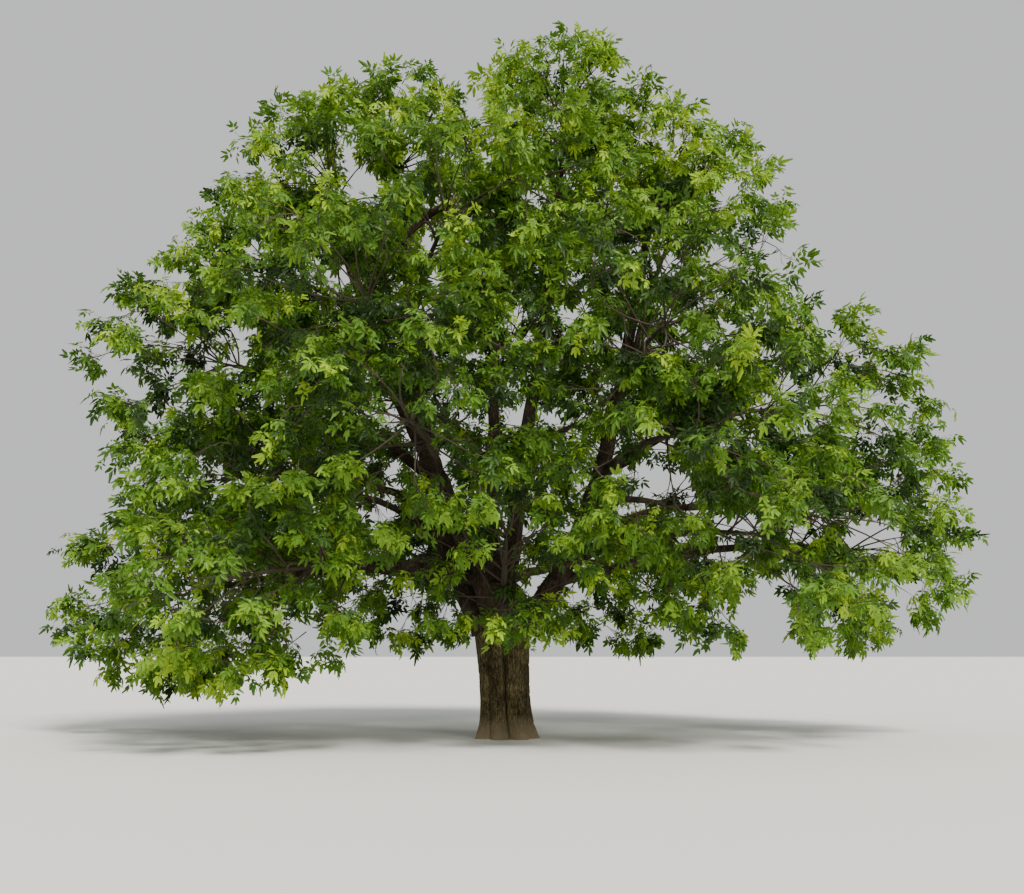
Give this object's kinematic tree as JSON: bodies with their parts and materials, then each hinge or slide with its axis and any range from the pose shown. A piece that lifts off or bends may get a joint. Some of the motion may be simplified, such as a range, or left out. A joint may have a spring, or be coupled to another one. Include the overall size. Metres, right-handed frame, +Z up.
{
  "type": "walnut tree",
  "caption": "Broad deciduous tree in full leaf: short fluted trunk with root flare, forking leaders, arching boughs and masses of foliage in a wide dome.",
  "frame": {"origin": "on the flat cut under the trunk at ground level, on the trunk's axis", "axes": "+Z up the trunk, -Y towards the side that the picture shows, +X to that side's right"},
  "size_m": [18.1036, 14.9309, 13.798],
  "materials": {
    "trunk_bark": "rough furrowed bark",
    "limb_bark": "rough dark bark",
    "leaves": "satin green leaves"
  },
  "bodies": {
    "root": {"trunk": "trunk_bark", "leader_left": "limb_bark", "leader_right": "limb_bark", "leader_centre": "limb_bark", "leader_back": "limb_bark", "leader_front": "limb_bark", "bough_skirt_1": "limb_bark", "bough_skirt_2": "limb_bark", "bough_skirt_3": "limb_bark", "bough_skirt_4": "limb_bark", "bough_skirt_5": "limb_bark", "bough_skirt_7": "limb_bark", "bough_lower_1": "limb_bark", "bough_lower_2": "limb_bark", "bough_lower_3": "limb_bark", "bough_lower_4": "limb_bark", "bough_lower_5": "limb_bark", "bough_lower_6": "limb_bark", "bough_lower_7": "limb_bark", "bough_middle_1": "limb_bark", "bough_middle_2": "limb_bark", "bough_middle_3": "limb_bark", "bough_middle_4": "limb_bark", "bough_middle_5": "limb_bark", "bough_middle_6": "limb_bark", "bough_upper_1": "limb_bark", "bough_upper_2": "limb_bark", "bough_upper_3": "limb_bark", "bough_upper_4": "limb_bark", "bough_high_4": "limb_bark", "foliage_skirt_1": "leaves", "foliage_skirt_2": "leaves", "foliage_skirt_3": "leaves", "foliage_skirt_4": "leaves", "foliage_skirt_5": "leaves", "foliage_skirt_6": "leaves", "foliage_skirt_7": "leaves", "foliage_lower_1": "leaves", "foliage_lower_2": "leaves", "foliage_lower_3": "leaves", "foliage_lower_4": "leaves", "foliage_lower_5": "leaves", "foliage_lower_6": "leaves", "foliage_lower_7": "leaves", "foliage_middle_1": "leaves", "foliage_middle_2": "leaves", "foliage_middle_3": "leaves", "foliage_middle_4": "leaves", "foliage_middle_5": "leaves", "foliage_middle_6": "leaves", "foliage_upper_1": "leaves", "foliage_upper_2": "leaves", "foliage_upper_3": "leaves", "foliage_upper_4": "leaves", "foliage_high_1": "leaves", "foliage_high_2": "leaves", "foliage_high_3": "leaves", "foliage_high_4": "leaves", "foliage_crest_1": "leaves", "foliage_crest_2": "leaves"}
  },
  "joints": []
}
